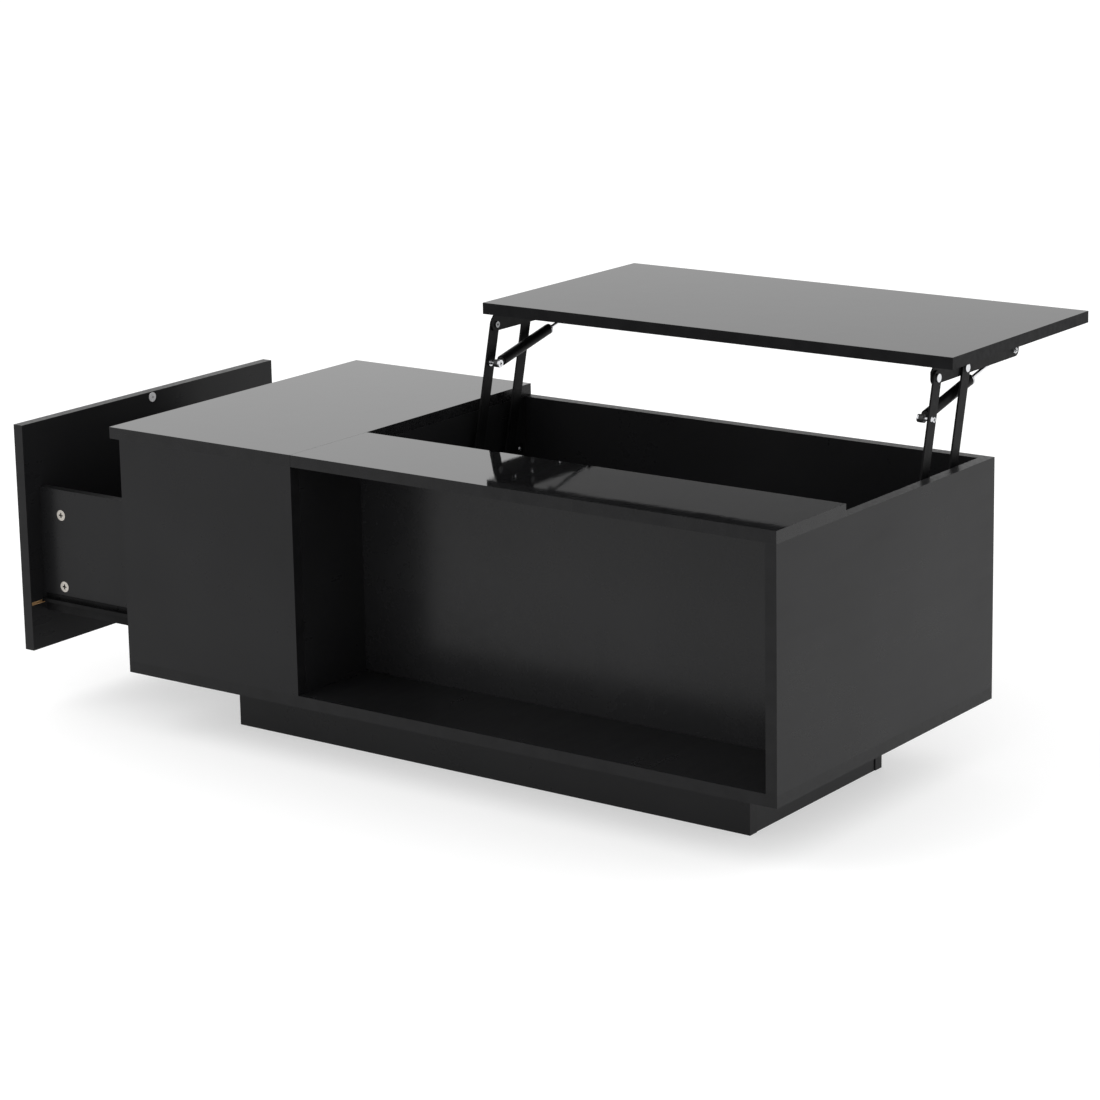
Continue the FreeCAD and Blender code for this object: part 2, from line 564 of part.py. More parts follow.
def build_gas_springs():
    """A gas spring on each side, from a stud on the front arm to the back of the top bracket."""
    direction = spring_direction()
    low_eyes, high_eyes, low_studs, high_studs = [], [], [], []
    span = math.hypot(number(f"{SPRING_TOP_Y} - {SPRING_LOW_Y}"), number(f"{TOP_PIVOT_Z} - {SPRING_LOW_Z}"))
    for hand, wall, side in HANDS:
        x = mirrored(wall, side, SPRING_AT)
        tube_start = along_spring("eye_length")
        tube = doc.addObject("Part::Cylinder", f"tube_{hand}")
        tube.setExpression("Radius", bound("tube_radius"))
        tube.setExpression("Height", bound("tube_length"))
        bore = doc.addObject("Part::Cylinder", f"tube_bore_{hand}")
        bore.setExpression("Radius", bound("spring_rod_radius + 0.08"))
        bore.setExpression("Height", bound("tube_length - 6"))
        bore.Placement = Placement(Vector(0, 0, 6), Rotation())
        rounded = doc.addObject("Part::Fillet", f"tube_rounded_{hand}")
        rounded.Base = tube
        rounded.Edges = [(1, 2.0, 2.0), (3, 2.0, 2.0)]
        shell = doc.addObject("Part::Cut", f"gas_spring_tube_{hand}")
        shell.Base = rounded
        shell.Tool = bore
        place_along_spring(keep(shell, f"gas_spring_tube_{hand}"), (x, *tube_start))
        rod = doc.addObject("Part::Cylinder", f"gas_spring_rod_{hand}")
        reserve = 30
        rod_start = f"eye_length + tube_length - {reserve}"
        rod.setExpression("Radius", bound("spring_rod_radius"))
        rod_end = span - number("eye_length")
        rod.Height = rod_end - number(rod_start)
        place_along_spring(keep(rod, f"gas_spring_rod_{hand}"), (x, *along_spring(rod_start)))
        outward = Vector(-side, 0, 0)
        low = Vector(number(x), number(SPRING_LOW_Y), number(SPRING_LOW_Z))
        high = Vector(number(x), number(SPRING_TOP_Y), number(TOP_PIVOT_Z))
        low_eyes.append(spring_eye(low, direction, outward))
        high_eyes.append(spring_eye(high, -direction, outward))
        to_arm = number(f"{SPRING_AT} - {ARM_FAR}")
        low_stud = shoulder_stud(low, outward, to_arm, 1.5, number("arm_thickness"))
        back = low + outward * (to_arm + number("arm_thickness"))
        head = screw(back, outward, number("stud_head"), 3, number("neck_radius"), 1)
        low_studs.append(low_stud.fuse(head).removeSplitter())
        to_plate = number(f"{SPRING_AT} - {PLATE_FAR}") - number("stud_gap")
        high_studs.append(shoulder_stud(high, outward, to_plate, 1.5, 0))
    group("spring_lower_eyes", low_eyes)
    group("spring_upper_eyes", high_eyes)
    group("spring_lower_studs", low_studs)
    group("spring_upper_studs", high_studs)


def place_along_spring(part, start):
    """Stands a part that was made along +Z on the spring's axis."""
    turn = Rotation(Vector(1, 0, 0), -number(SPRING_TILT))
    part.Placement = Placement(Vector(*[number(c) for c in start]), turn)
    for axis, value in zip("xyz", start):
        part.setExpression(f"Placement.Base.{axis}", bound(value))
    part.setExpression("Placement.Rotation.Angle", bound(f"-{SPRING_TILT}"))


# ---------------------------------------------------------------- drawer and its slides

DRAWER_SIDES = (("front", "-1", INNER_FRONT), ("rear", "1", INNER_REAR))
SLIDE_START = f"({LEFT} + 3)"
MEMBER_START = f"({DRAWER_INNER} + 5)"
SLIDE_LEVEL = "(plinth_height + board + 32)"
DRAWER_ROLLER_X = f"({MEMBER_START} + slide_length - 5)"
DRAWER_ROLLER_Z = f"({SLIDE_LEVEL} + steel + roller_radius + 0.1)"
CABINET_ROLLER_X = f"({SLIDE_START} + 11)"
CABINET_ROLLER_Z = f"({DRAWER_LOW} + 20 - steel - roller_radius - 0.2)"


def slide_screw_places():
    """Where the cabinet's slide members are screwed on, as X and Z."""
    return [(f"{SLIDE_START} + {along}", f"{SLIDE_LEVEL} + 16") for along in ("27", "157", "287")]


def member_screw_places():
    """Where the drawer's slide members are screwed on, as X and Z."""
    return [(f"{MEMBER_START} + {along}", f"{DRAWER_LOW} + 23.3") for along in ("27", "152", "277")]


def inward(end, wall, distance):
    """Y at a distance from a cabinet wall toward the middle of the drawer."""
    return f"({wall} - ({end}) * ({distance}))"


def inward_pair(end, wall, near, far):
    """Low and high Y of a thing between two distances from a cabinet wall."""
    places = [inward(end, wall, near), inward(end, wall, far)]
    return places if end == "-1" else places[::-1]


def section(piece, end, wall, bars, length):
    """A folded steel section: bars are near, far distances from the wall and low, high levels."""
    for near, far, low, high in bars:
        y = inward_pair(end, wall, near, far)
        corner = piece.corner
        bar = [f"({y[0]}) - ({corner[1]})", f"({y[1]}) - ({corner[1]})",
               f"({low}) - ({corner[2]})", f"({high}) - ({corner[2]})"]
        piece.pad("YZ", "0", [(rectangle, *bar)], length)


def build_slides():
    """Roller slides: a channel on each cabinet wall and a hooked rail under each drawer side."""
    level, low = SLIDE_LEVEL, DRAWER_LOW
    web = "(side_gap - steel)"
    cabinet_bars = [("0", "steel", level, f"{level} + 32"),
                    ("steel", "10.8", level, f"{level} + steel"),
                    ("10.8 - steel", "10.8", f"{level} + steel", f"{level} + 4.5")]
    drawer_bars = [(web, "side_gap", low, f"{low} + 26.5"),
                   (web, "side_gap + 12", f"{low} - steel", low),
                   ("2.5", web, f"{low} + 20 - steel", f"{low} + 20"),
                   ("2.5", "2.5 + steel", f"{low} + 14.5", f"{low} + 20 - steel")]
    cabinet_screws, drawer_screws, cabinet_axles, drawer_axles = [], [], [], []
    for name, end, wall in DRAWER_SIDES:
        toward = 1 if end == "-1" else -1
        piece = Piece(f"slide_cabinet_member_{name}", (SLIDE_START, wall, level))
        section(piece, end, wall, cabinet_bars, "slide_length")
        start = wall if toward > 0 else inward(end, wall, "steel")
        drill(piece, "XZ", start, slide_screw_places(), "screw_radius", "steel", 1)
        axle_at = [(CABINET_ROLLER_X, CABINET_ROLLER_Z)]
        drill(piece, "XZ", start, axle_at, "axle_radius", "steel", 1)

        piece = Piece(f"slide_drawer_member_{name}", (MEMBER_START, wall, low))
        section(piece, end, wall, drawer_bars, "slide_length")
        y = inward_pair(end, wall, web, "side_gap")
        ear = [f"({y[0]}) - ({wall})", f"({y[1]}) - ({wall})", "-11.5", "-steel"]
        piece.pad("YZ", "slide_length - 16", [(rectangle, *ear)], "16")
        start = inward(end, wall, web) if toward > 0 else inward(end, wall, "side_gap")
        drill(piece, "XZ", start, member_screw_places(), "screw_radius", "steel", 1)
        drill(piece, "XZ", start, [(DRAWER_ROLLER_X, DRAWER_ROLLER_Z)], "axle_radius", "steel", 1)

        axis = Vector(0, toward, 0)
        wall_y, steel, gap = number(wall), number("steel"), number("side_gap")
        for x, z in slide_screw_places():
            base = Vector(number(x), wall_y + toward * steel, number(z))
            cabinet_screws.append(screw(base, axis, 4, 1, number("screw_radius"), number("screw_length")))
        for x, z in member_screw_places():
            base = Vector(number(x), wall_y + toward * (gap - steel), number(z))
            drawer_screws.append(screw(base, -axis, 3, 1, number("screw_radius"), 12))
        radius = number("axle_radius")
        start = Vector(number(CABINET_ROLLER_X), wall_y, number(CABINET_ROLLER_Z))
        cabinet_axles.append(turned([(3.9, radius), (0.3, radius + 1.5), (6.7, radius), (0.6, radius + 1)],
                                    start, axis))
        start = Vector(number(DRAWER_ROLLER_X), wall_y + toward * gap, number(DRAWER_ROLLER_Z))
        drawer_axles.append(turned([(3.2, radius), (0.3, radius + 1.5), (6.6, radius), (0.5, radius + 1)],
                                   start, -axis))
    group("slide_cabinet_screws", cabinet_screws)
    group("slide_drawer_screws", drawer_screws)
    group("slide_cabinet_axles", cabinet_axles)
    group("slide_drawer_axles", drawer_axles)


def build_rollers():
    """Nylon rollers with a shallow groove in their faces, each one turning on its axle."""
    places = (("cabinet", CABINET_ROLLER_X, CABINET_ROLLER_Z, "4.3"),
              ("drawer", DRAWER_ROLLER_X, DRAWER_ROLLER_Z, "3"))
    for name, x, z, near in places:
        for side, end, wall in DRAWER_SIDES:
            y = inward_pair(end, wall, near, f"{near} + roller_width")
            piece = Piece(f"slide_roller_{name}_{side}", (x, y[0], z))
            piece.pad("XZ", "0", [(circle, "0", "0", "roller_radius")], "roller_width")
            piece.pocket("XZ", "0", [(circle, "0", "0", HOLE.replace("pin_radius", "axle_radius"))],
                         "roller_width", 1)
            ring = [(circle, "0", "0", "roller_radius - 1.5"), (circle, "0", "0", "axle_radius + 2")]
            piece.pocket("XZ", "0", ring, "0.8", 1)


def build_drawer():
    """The drawer box, its wide front panel and their fittings."""
    x_front = (f"({DRAWER_INNER} - board)", DRAWER_INNER)
    z_front = ("plinth_height + front_low", f"{PANEL_TOP} - front_high")
    panel = board("drawer_front", x_front, (FRONT, REAR), z_front)
    corner = panel.corner
    groove_low = f"{BASE_SHEET_LOW} - 0.1 - ({corner[2]})"
    groove_high = f"{BASE_SHEET_LOW} + base_sheet + 0.1 - ({corner[2]})"
    panel.pocket("YZ", "board", [(rectangle, "1", "depth - 1", groove_low, groove_high)], "groove + 0.2", -1)

    box_x = (DRAWER_INNER, f"({DRAWER_INNER} + box_length)")
    cams = [(f"{DRAWER_INNER} + cam_setback", f"plinth_height + {z}") for z in ("cam_low", "cam_high")]
    back_screws = [(f"{box_x[1]} - side_board / 2", f"plinth_height + {z}") for z in ("cam_low", "cam_high")]
    cam_solids, screw_solids = [], []
    for name, end, wall in DRAWER_SIDES:
        toward = 1 if end == "-1" else -1
        y = inward_pair(end, wall, "side_gap", "side_gap + side_board")
        side = board(f"drawer_side_{name}", box_x, y, (DRAWER_LOW, DRAWER_TOP))
        inner = inward(end, wall, "side_gap + side_board")
        outer = inward(end, wall, "side_gap")
        groove = [(rectangle, "0", "box_length", f"{BASE_SHEET_LOW} - 0.1 - ({DRAWER_LOW})",
                   f"{BASE_SHEET_LOW} + base_sheet + 0.1 - ({DRAWER_LOW})")]
        side.pocket("XZ", f"({inner}) - ({y[0]})", groove, "groove + 0.2", -toward)
        drill(side, "XZ", outer, cams, "cam_radius", "cam_depth", toward)
        drill(side, "XZ", outer, back_screws, "screw_radius", "side_board", toward)
        drill(side, "XZ", outer, member_screw_places(), "screw_radius", "12 - steel", toward)
        cam_solids += [cam_lock((x, outer, z), (0, -toward, 0)) for x, z in cams]
        for x, z in back_screws:
            base = Vector(*[number(v) for v in (x, outer, z)])
            screw_solids.append(screw(base, (0, -toward, 0), 3.5, 1, number("screw_radius"), 40))
    group("drawer_cam_locks", cam_solids)
    group("drawer_back_screws", screw_solids)

    inner_y = [inward(end, wall, "side_gap + side_board") for _, end, wall in DRAWER_SIDES]
    back = board("drawer_back", (f"{box_x[1]} - side_board", box_x[1]), inner_y,
                 (f"{BASE_SHEET_LOW} + base_sheet + 1", DRAWER_TOP))
    drill(back, "XZ", inner_y[0], back_screws, "screw_radius", "40 - side_board", 1)
    drill(back, "XZ", inner_y[1], back_screws, "screw_radius", "40 - side_board", -1)
    sheet_y = (f"{inner_y[0]} - groove", f"{inner_y[1]} + groove")
    board("drawer_bottom", (f"({DRAWER_INNER} - groove)", box_x[1]), sheet_y,
          (BASE_SHEET_LOW, f"{BASE_SHEET_LOW} + base_sheet"))
    strike = Piece("latch_strike_plate", (DRAWER_INNER, "0", LATCH_Z))
    strike.pad("YZ", "0", [(circle, "0", "0", "strike_radius")], "strike_plate")
    strike.pocket("YZ", "strike_plate", [(circle, "0", "0", "tail_hollow")], "strike_plate / 2", -1)


def build_latch():
    """The push latch: a flanged barrel in the rail and a plunger that meets the drawer."""
    rail_face = f"({LEFT} + rail_setback)"
    piece = Piece("push_latch_housing", (rail_face, "0", LATCH_Z))
    piece.pad("YZ", "0", [(circle, "0", "0", "latch_radius")], "latch_length")
    piece.pad("YZ", "-1.5", [(circle, "0", "0", "latch_flange")], "1.5")
    piece.pocket("YZ", "-1.5", [(circle, "0", "0", "plunger_radius + pin_clearance")], "37.5", 1)
    tip = f"({LEFT} - drawer_gap + strike_plate + 0.3)"
    plunger = Piece("push_latch_plunger", (tip, "0", LATCH_Z))
    rod = plunger.pad("YZ", "0", [(circle, "0", "0", "plunger_radius")], "plunger_length")
    doc.recompute()
    edges = rod.Shape.Edges
    tip_edge = min(range(len(edges)), key=lambda i: edges[i].CenterOfMass.x) + 1
    end = plunger.body.newObject("PartDesign::Chamfer", "plunger_tip")
    end.Base = (rod, [f"Edge{tip_edge}"])
    end.Size = 0.6
    plunger.body.Tip = end


build_cabinet()
build_plinth()
build_base_brackets()
build_base_hardware()
build_arms()
build_top_brackets()
build_lift_top()
build_gas_springs()
build_slides()
build_rollers()
build_drawer()
build_latch()
doc.recompute()

for item in doc.Objects:
    if "Invalid" in item.State or "Error" in item.State:
        raise RuntimeError(f"{item.Label} is not valid: {item.State}")
os.makedirs("parts", exist_ok=True)
for part in PARTS:
    if part.Shape.isNull() or not part.Shape.isValid() or not part.Shape.Solids:
        raise RuntimeError(f"{part.Label} has no sound solid")
    part.Shape.exportStep(f"parts/{part.Label}.step")
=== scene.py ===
"""Looks for the lift top coffee table: black foil boards, black steel arms and bright fittings."""
import json
import math

import bmesh
import bpy
from mathutils import Matrix, Vector


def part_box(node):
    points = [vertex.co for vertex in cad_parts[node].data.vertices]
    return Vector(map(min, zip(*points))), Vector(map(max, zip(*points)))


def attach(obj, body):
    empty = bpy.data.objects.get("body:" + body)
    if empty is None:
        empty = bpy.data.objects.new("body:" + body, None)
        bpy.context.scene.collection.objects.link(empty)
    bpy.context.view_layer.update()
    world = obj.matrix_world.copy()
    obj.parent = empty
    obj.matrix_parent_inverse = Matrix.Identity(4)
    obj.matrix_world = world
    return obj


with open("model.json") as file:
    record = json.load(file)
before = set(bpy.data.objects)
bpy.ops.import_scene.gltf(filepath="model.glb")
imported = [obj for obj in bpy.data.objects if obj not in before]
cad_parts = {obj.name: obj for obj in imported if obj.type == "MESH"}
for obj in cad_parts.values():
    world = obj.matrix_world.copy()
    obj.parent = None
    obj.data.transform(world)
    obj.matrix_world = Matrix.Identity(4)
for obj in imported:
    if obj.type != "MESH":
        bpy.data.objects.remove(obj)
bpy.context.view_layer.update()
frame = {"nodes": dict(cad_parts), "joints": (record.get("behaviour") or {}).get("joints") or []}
NODES = frame["nodes"]

# How far sharp edges are broken, in metres: boards, then fittings, then pins and screws.
BOARD_EDGE, PART_EDGE, SMALL_EDGE = 0.0006, 0.0003, 0.00015
SHARP_ANGLE = math.radians(35)


# ---------------------------------------------------------------- material nodes

class Surface:
    """A material made of nodes around one Principled shader, in the object's own coordinates."""

    def __init__(self, name, **values):
        self.material = bpy.data.materials.new(name)
        self.material.use_nodes = True
        self.tree = self.material.node_tree
        self.shader = self.tree.nodes["Principled BSDF"]
        self.place = self.node("ShaderNodeTexCoord")
        for socket, value in values.items():
            self.shader.inputs[socket.replace("_", " ")].default_value = value

    def node(self, kind, inputs=None, **settings):
        made = self.tree.nodes.new(kind)
        for key, value in settings.items():
            setattr(made, key, value)
        for socket, value in (inputs or {}).items():
            if isinstance(value, bpy.types.NodeSocket):
                self.tree.links.new(value, made.inputs[socket])
            else:
                made.inputs[socket].default_value = value
        return made

    def link(self, output, socket):
        self.tree.links.new(output, self.shader.inputs[socket])

    def noise(self, scale, detail=4.0, stretch=(1, 1, 1)):
        mapping = self.node("ShaderNodeMapping", {"Vector": self.place.outputs["Object"], "Scale": stretch})
        texture = self.node("ShaderNodeTexNoise", {
            "Vector": mapping.outputs["Vector"], "Scale": scale, "Detail": detail, "Roughness": 0.55})
        return texture.outputs["Fac"]

    def spread(self, value, low, high, start=0.3, end=0.7):
        """Stretches the values between start and end over low to high."""
        spans = {"Value": value, "From Min": start, "From Max": end, "To Min": low, "To Max": high}
        return self.node("ShaderNodeMapRange", spans).outputs["Result"]

    def blend(self, factor, first, second):
        mix = self.node("ShaderNodeMix", data_type="RGBA")
        self.tree.links.new(factor, mix.inputs["Factor"])
        for name, value in (("A", first), ("B", second)):
            socket = next(s for s in mix.inputs if s.name == name and s.type == "RGBA")
            if isinstance(value, bpy.types.NodeSocket):
                self.tree.links.new(value, socket)
            else:
                socket.default_value = (*value, 1.0)
        return next(s for s in mix.outputs if s.type == "RGBA")

    def math(self, operation, first, second=0.0):
        made = self.node("ShaderNodeMath", operation=operation)
        for socket, value in zip(made.inputs, (first, second)):
            if isinstance(value, bpy.types.NodeSocket):
                self.tree.links.new(value, socket)
            else:
                socket.default_value = value
        return made.outputs[0]

    def bump(self, height, strength, distance, under=None):
        inputs = {"Height": height, "Strength": strength, "Distance": distance}
        if under is not None:
            inputs["Normal"] = under
        return self.node("ShaderNodeBump", inputs).outputs["Normal"]


def edge_mask(surface, axis):
    """1 on the narrow edges of a board that is thin along axis, 0 on its two broad faces."""
    parts = surface.node("ShaderNodeSeparateXYZ", {0: surface.place.outputs["Normal"]})
    broad = surface.math("ABSOLUTE", parts.outputs[axis])
    return surface.math("LESS_THAN", broad, 0.6)


def black_board(name, axis, face, edge, shades, ior, edge_shine=1.0):
    """Black foil on a board that is thin along axis. Face and edge are roughness ranges and shades their base
    colours; the broad faces have faint orange peel and wipe marks, the banded edges a soft mottle and their
    own shine."""
    made = Surface(name, IOR=ior)
    cloud = made.spread(made.noise(3.5, 3), 0, 1)
    mottle = made.spread(made.noise(45, 5), 0, 1, 0.35, 0.65)
    grey = [[shade * tone * tint for tint in (1.0, 1.0, 1.06)] for shade in shades for tone in (1.0, 1.35)]
    mask = edge_mask(made, axis)
    faces, edges = made.blend(cloud, grey[0], grey[1]), made.blend(mottle, grey[2], grey[3])
    made.link(made.blend(mask, faces, edges), "Base Color")
    made.link(made.blend(mask, [1.0] * 3, [edge_shine] * 3), "Specular Tint")
    smooth = made.spread(made.noise(9, 5), *face)
    wipe_marks_and_unshaded = made.spread(made.noise(60, 6, stretch=(1, 0.12, 1)), 0.0, (face[1] - face[0]) * 0.7)
    banded = made.spread(made.noise(140, 4), *edge)
    rough = made.node("ShaderNodeMix", {"Factor": mask}, data_type="FLOAT")
    made.tree.links.new(made.math("ADD", smooth, wipe_marks_and_unshaded), rough.inputs["A"])
    made.tree.links.new(banded, rough.inputs["B"])
    made.link(rough.outputs["Result"], "Roughness")
    peel = made.bump(made.noise(260, 2), 0.05, 0.0002)
    made.link(made.bump(made.noise(14, 2), 0.05, 0.0012, peel), "Normal")
    return made.material


def satin_steel(name):
    """Black powder coat on steel: fine pebbled skin, a little greyer where it is rubbed."""
    made = Surface(name, IOR=1.16)
    rubbed = made.spread(made.noise(35, 5), 0, 1, 0.45, 0.8)
    made.link(made.blend(rubbed, [0.0034, 0.0034, 0.0036], [0.0075, 0.0075, 0.0078]), "Base Color")
    made.link(made.spread(made.noise(120, 4), 0.34, 0.46), "Roughness")
    coarse = made.bump(made.noise(270, 3), 0.1, 0.0003)
    made.link(made.bump(made.noise(900, 2), 0.25, 0.00006, coarse), "Normal")
    return made.material


def plated(name, colour=(0.74, 0.75, 0.77), low=0.16, high=0.3, dim_between=None):
    """Plated steel: small crystal patches, fine marks, and painted shade that darkens the base colour deep in
    the recesses. Dim_between is a middle along X and a half width, and inside them the plating is darker."""
    made = Surface(name, Metallic=1.0)
    cells = made.node("ShaderNodeTexVoronoi", {
        "Vector": made.place.outputs["Object"], "Scale": 900.0}).outputs["Distance"]
    unshaded_plating = made.blend(made.spread(cells, 0, 1, 0.1, 0.7), colour, [c * 0.82 for c in colour])
    if dim_between:
        # Inside this span along X the plating colour is darkened to 0.3 of its value.
        middle, reach = dim_between
        along = made.node("ShaderNodeSeparateXYZ", {0: made.place.outputs["Object"]}).outputs[0]
        off = made.math("ABSOLUTE", made.math("SUBTRACT", along, middle))
        unshaded_plating = made.blend(made.math("LESS_THAN", off, reach), unshaded_plating, [c * 0.3 for c in colour])
    painted_recess_shade = [0.03, 0.03, 0.03]
    # Painted shade: ambient occlusion blends the plating towards near black in narrow recesses.
    recess = made.node("ShaderNodeAmbientOcclusion", {"Distance": 0.003}, samples=8, only_local=True)
    wipe_marks_and_unshaded = made.spread(recess.outputs["AO"], 0, 1, 0.35, 0.8)
    made.link(made.blend(wipe_marks_and_unshaded, painted_recess_shade, unshaded_plating), "Base Color")
    made.link(made.spread(made.noise(500, 4), low, high), "Roughness")
    made.link(made.bump(made.noise(1500, 3), 0.12, 0.00004), "Normal")
    return made.material


def polished_rod(name):
    """Hard chrome, ground round: very fine marks across the rod."""
    made = Surface(name, Metallic=1.0)
    film = made.spread(made.noise(80, 3), 0, 1)
    made.link(made.blend(film, [0.8, 0.8, 0.82], [0.7, 0.7, 0.72]), "Base Color")
    made.link(made.spread(made.noise(400, 3), 0.05, 0.12), "Roughness")
    made.link(made.bump(made.noise(3000, 2), 0.06, 0.00002), "Normal")
    return made.material


def moulded(name, light, dark):
    """Moulded nylon: soft sheen and a fine spark-eroded grain."""
    made = Surface(name, IOR=1.5)
    made.link(made.blend(made.spread(made.noise(60, 4), 0, 1), light, dark), "Base Color")
    made.link(made.spread(made.noise(200, 3), 0.38, 0.52), "Roughness")
    made.link(made.bump(made.noise(1800, 3), 0.3, 0.00005), "Normal")
    return made.material


def raw_fibreboard(name):
    """Bare fibreboard inside a groove: tan, matted fibres along the cut."""
    made = Surface(name, IOR=1.4)
    fibres = made.noise(600, 6, stretch=(1, 0.15, 1))
    made.link(made.blend(made.spread(fibres, 0, 1), [0.42, 0.27, 0.13], [0.62, 0.44, 0.25]), "Base Color")
    made.link(made.spread(made.noise(300, 4), 0.8, 0.95), "Roughness")
    made.link(made.bump(fibres, 0.6, 0.0003), "Normal")
    return made.material


# ---------------------------------------------------------------- CAD nodes

# The boards in satin foil, by the axis along which they are thin.
SATIN_BOARDS = {
    0: ("right_side_panel", "divider_panel", "plinth_left_board", "plinth_right_board", "plinth_centre_brace",
        "drawer_front", "drawer_back"),
    1: ("back_panel", "drawer_bay_front_panel", "plinth_front_board", "plinth_rear_board",
        "drawer_side_front", "drawer_side_rear"),
    2: ("bottom_board", "drawer_bay_rail", "drawer_bottom"),
}

# The looks of the boards, as black_board takes them.
SATIN = {"face": (0.24, 0.32), "edge": (0.3, 0.4), "shades": (0.0075, 0.006), "ior": 1.235}
# The shelf back panel takes the satin foil with a lighter face shade: painted light that brightens it inside
# the shaded shelf.
SATIN_SHELF_PAINTED_LIGHT = {"face": (0.2, 0.28), "edge": (0.3, 0.4), "shades": (0.009, 0.006), "ior": 1.3}
GLOSS = {"face": (0.018, 0.034), "edge": (0.2, 0.3), "shades": (0.0042, 0.0065), "ior": 1.405,
         "edge_shine": 0.3}
GLOSS_LIFT = {"face": (0.02, 0.036), "edge": (0.5, 0.62), "shades": (0.0036, 0.008), "ior": 1.205,
              "edge_shine": 0.45}

# The fittings that look alike, by a word in their names.
RIVETS = ("top_pivot_rivets", "base_pivot_pins")
CAMS = ("cam_locks",)
ZINC = ("base_stop_pins", "base_bracket_screws", "top_bracket_screws", "spring_stud_nuts",
        "spring_lower_studs", "spring_upper_studs", "_axles", "drawer_back_screws")
STEEL = ("lift_base_bracket", "lift_front_arm", "lift_rear_arm", "top_bracket_left", "top_bracket_right",
         "slide_cabinet_member", "slide_drawer_member", "slide_cabinet_screws", "slide_drawer_screws",
         "gas_spring_tube")
RODS = ("gas_spring_rod",)
ROLLERS = ("slide_roller",)
MOULDINGS = ("push_latch", "spring_lower_eyes", "spring_upper_eyes")


def dress(node, material, edge=None, segments=2):
    """Gives a CAD node its material, and breaks its sharp edges as sanding or tumbling does."""
    shape = NODES[node]
    shape.data.materials.clear()
    shape.data.materials.append(material)
    if edge:
        bevel = shape.modifiers.new("softened_edges", "BEVEL")
        bevel.width = edge
        bevel.segments = segments
        bevel.limit_method = "ANGLE"
        bevel.angle_limit = SHARP_ANGLE
        bevel.harden_normals = True


def dress_boards():
    """Satin foil on the carcass and the drawer, gloss foil on the three boards of the table top."""
    def cover(names, foil):
        for name in names:
            dress(name, foil, BOARD_EDGE, segments=3)

    for axis, names in SATIN_BOARDS.items():
        cover(names, black_board(f"satin_black_{'xyz'[axis]}", axis, **SATIN))
    # Painted light: a lighter copy of the satin foil for the shelf back panel.
    cover(["shelf_back_panel"], black_board("satin_black_shelf_painted_light", 1, **SATIN_SHELF_PAINTED_LIGHT))
    cover(["left_top_board", "front_top_board"], black_board("gloss_black_top", 2, **GLOSS))
    cover(["lift_top_panel"], black_board("gloss_black_lift", 2, **GLOSS_LIFT))


def rivet_tails():
    """The middle of the two top brackets along X and half the distance between their inner sides."""
    thickness = 0.0024
    left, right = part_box("top_bracket_left")[0].x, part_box("top_bracket_right")[1].x
    return (left + right) / 2, (right - left) / 2 - thickness


def dress_fittings():
    """Zinc, chrome and powder coat on the steel, nylon on the rollers, the latch and the spring eyes."""
    dress("latch_strike_plate", plated("dull_zinc", (0.85, 0.85, 0.86), 0.68, 0.82), PART_EDGE)
    looks = (
        (RIVETS, plated("rivet_zinc", dim_between=rivet_tails()), SMALL_EDGE),
        (CAMS, plated("warm_nickel", (0.53, 0.5, 0.46), 0.25, 0.4), SMALL_EDGE),
        (ZINC, plated("bright_zinc"), SMALL_EDGE),
        (STEEL, satin_steel("black_powder_coat"), PART_EDGE),
        (RODS, polished_rod("hard_chrome"), None),
        (ROLLERS, moulded("white_nylon", [0.78, 0.78, 0.75], [0.68, 0.68, 0.64]), PART_EDGE),
        (MOULDINGS, moulded("black_nylon", [0.012, 0.012, 0.012], [0.02, 0.02, 0.02]), PART_EDGE),
    )
    for words, material, edge in looks:
        for name in NODES:
            if any(word in name for word in words):
                dress(name, material, edge)


# ---------------------------------------------------------------- extra pieces

def mesh_object(name, build, material, body):
    """A new piece from a bmesh, riding on a body."""
    mesh = bpy.data.meshes.new(name)
    shape = bmesh.new()
    build(shape)
    bmesh.ops.recalc_face_normals(shape, faces=shape.faces)
    shape.to_mesh(mesh)
    shape.free()
    piece = bpy.data.objects.new(name, mesh)
    bpy.context.scene.collection.objects.link(piece)
    mesh.materials.append(material)
    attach(piece, body)
    return piece


def groove_liners():
    """The raw core of the board, seen in the ends of the groove across the drawer front: a thin channel lines
    the groove from each end of the drawer front to the drawer side next to it."""
    material = raw_fibreboard("raw_fibreboard")
    low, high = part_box("drawer_front")
    sheet_low, sheet_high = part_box("drawer_bottom")
    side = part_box("drawer_side_front")[0].y
    skin, end_gap, deep_gap, side_gap = 0.00005, 0.001, 0.0002, 0.0001
    x_face, x_deep = high.x, sheet_low.x - deep_gap
    z_low, z_high = sheet_low.z - side_gap, sheet_high.z + side_gap
    outline = [(x_face, z_low), (x_deep, z_low), (x_deep, z_high), (x_face, z_high),
               (x_face, z_high - skin), (x_deep + skin, z_high - skin),
               (x_deep + skin, z_low + skin), (x_face, z_low + skin)]
    for name, span in (("front", (low.y + end_gap, side)), ("rear", (-side, high.y - end_gap))):

        def build(shape, span=span):
            ends = [[shape.verts.new((x, y, z)) for x, z in outline] for y in span]
            for i in range(len(outline)):
                j = (i + 1) % len(outline)
                shape.faces.new((ends[0][i], ends[0][j], ends[1][j], ends[1][i]))
            for end in ends:
                for corners in ((0, 1, 6, 7), (1, 2, 5, 6), (2, 3, 4, 5)):
                    shape.faces.new([end[corner] for corner in corners])

        mesh_object(f"groove_core_{name}", build, material, "drawer")


def spring_axis():
    """The direction of the gas springs, from the stroke of their rods."""
    stroke = next(joint for joint in frame["joints"] if joint["name"] == "spring_rod_stroke")
    return Vector(stroke["axis"]).normalized()


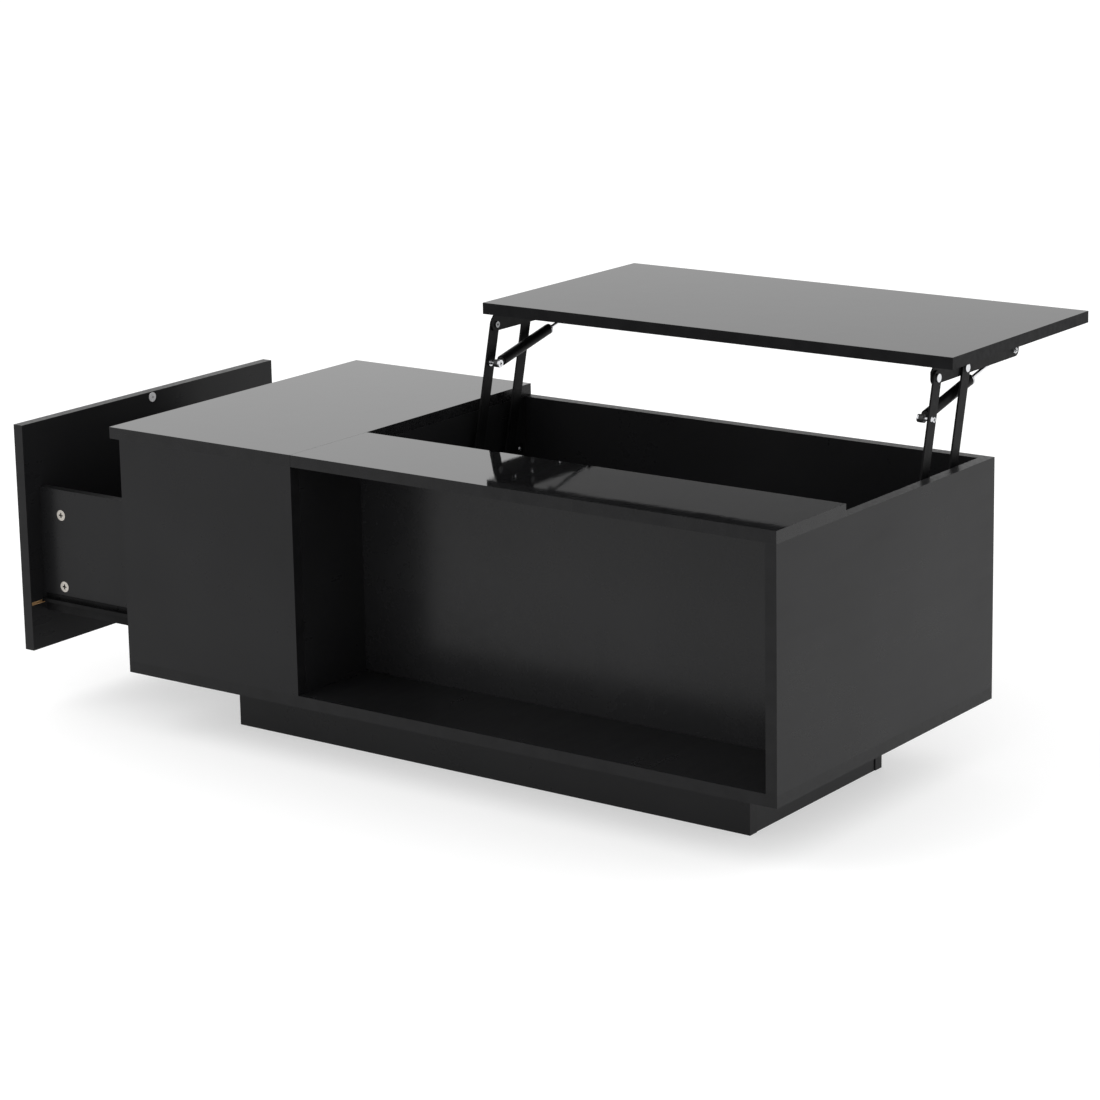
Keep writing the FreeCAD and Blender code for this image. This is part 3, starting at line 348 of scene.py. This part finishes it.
def spring_collars():
    """A rolled bright collar round the end of each gas spring's tube, closed down to the rod."""
    material = plated("rolled_collar", (0.62, 0.62, 0.64), 0.22, 0.36)
    along = spring_axis()
    turn = along.to_track_quat("Z", "X").to_matrix()
    steps, bore, swell = 48, 0.0031, 0.0002
    for hand in ("left", "right"):
        vertices = NODES[f"gas_spring_tube_{hand}"].data.vertices
        low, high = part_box(f"gas_spring_tube_{hand}")
        middle = Vector([(a + b) / 2 for a, b in zip(low, high)])
        far = max(vertex.co.dot(along) for vertex in vertices)
        end = middle + along * (far - middle.dot(along))
        radius = (high.x - low.x) / 2
        profile = [(bore, 0.0004), (radius - 0.0022, 0.0004), (radius - 0.0008, -0.0002),
                   (radius + swell, -0.0016), (radius + swell, -0.005), (radius - swell, -0.0053)]

        def build(shape, end=end, profile=profile):
            angles = [2 * math.pi * i / steps for i in range(steps)]
            rings = []
            for reach, depth in profile:
                points = [Vector((reach * math.cos(a), reach * math.sin(a), depth)) for a in angles]
                rings.append([shape.verts.new(end + turn @ point) for point in points])
            for inner, outer in zip(rings, rings[1:]):
                for i in range(steps):
                    j = (i + 1) % steps
                    shape.faces.new((inner[i], inner[j], outer[j], outer[i]))

        piece = mesh_object(f"spring_collar_{hand}", build, material, "spring_tubes")
        for face in piece.data.polygons:
            face.use_smooth = True


# ---------------------------------------------------------------- stage

def build_stage():
    """A pale floor that runs to the horizon under an even white sky, with two soft lights."""
    far = 60
    mesh = bpy.data.meshes.new("floor")
    corners = [(-far, -far, 0), (far, -far, 0), (far, far, 0), (-far, far, 0)]
    mesh.from_pydata(corners, [], [(0, 1, 2, 3)])
    floor = bpy.data.objects.new("floor", mesh)
    bpy.context.scene.collection.objects.link(floor)
    made = Surface("pale_floor", Roughness=0.75, Base_Color=(0.52, 0.52, 0.52, 1.0), Specular_IOR_Level=0.2,
                   Emission_Color=(1.0, 1.0, 1.0, 1.0), Emission_Strength=0.52)
    mesh.materials.append(made.material)
    world = bpy.data.worlds.new("white_studio")
    world.use_nodes = True
    sky = world.node_tree.nodes["Background"].inputs
    sky["Color"].default_value = (1.0, 1.0, 1.0, 1.0)
    sky["Strength"].default_value = 1.08
    bpy.context.scene.world = world
    add_light("key", (-2.2, -3.0, 3.6), 60)
    add_light("fill", (3.2, 1.5, 3.4), 30)


def add_light(name, place, power):
    """A large square soft light that faces the middle of the table and isn't mirrored in it."""
    middle = Vector((0, 0, 0.3))
    data = bpy.data.lights.new(name, "AREA")
    data.shape = "SQUARE"
    data.size = 3.2
    data.energy = power
    light = bpy.data.objects.new(name, data)
    light.location = place
    light.rotation_euler = (middle - Vector(place)).to_track_quat("-Z", "Y").to_euler()
    light.visible_glossy = False
    bpy.context.scene.collection.objects.link(light)


def build_camera():
    """The camera, by its place, bearing, dip and roll."""
    place = (2.8995, -3.9441, 1.5933)
    bearing, dip, roll = (math.radians(angle) for angle in (36.28, 13.02, -1.05))
    data = bpy.data.cameras.new("camera")
    camera = bpy.data.objects.new("camera", data)
    bpy.context.scene.collection.objects.link(camera)
    data.sensor_width = 36
    data.lens = 110.3
    data.shift_y = -0.091
    data.clip_end = 200
    turn = Matrix.Rotation(bearing, 4, "Z") @ Matrix.Rotation(math.pi / 2 - dip, 4, "X")
    camera.matrix_world = Matrix.Translation(place) @ turn @ Matrix.Rotation(roll, 4, "Z")
    bpy.context.scene.camera = camera


bpy.context.scene.view_settings.view_transform = "Standard"
build_camera()
build_stage()
dress_boards()
dress_fittings()
groove_liners()
spring_collars()
bpy.context.view_layer.update()
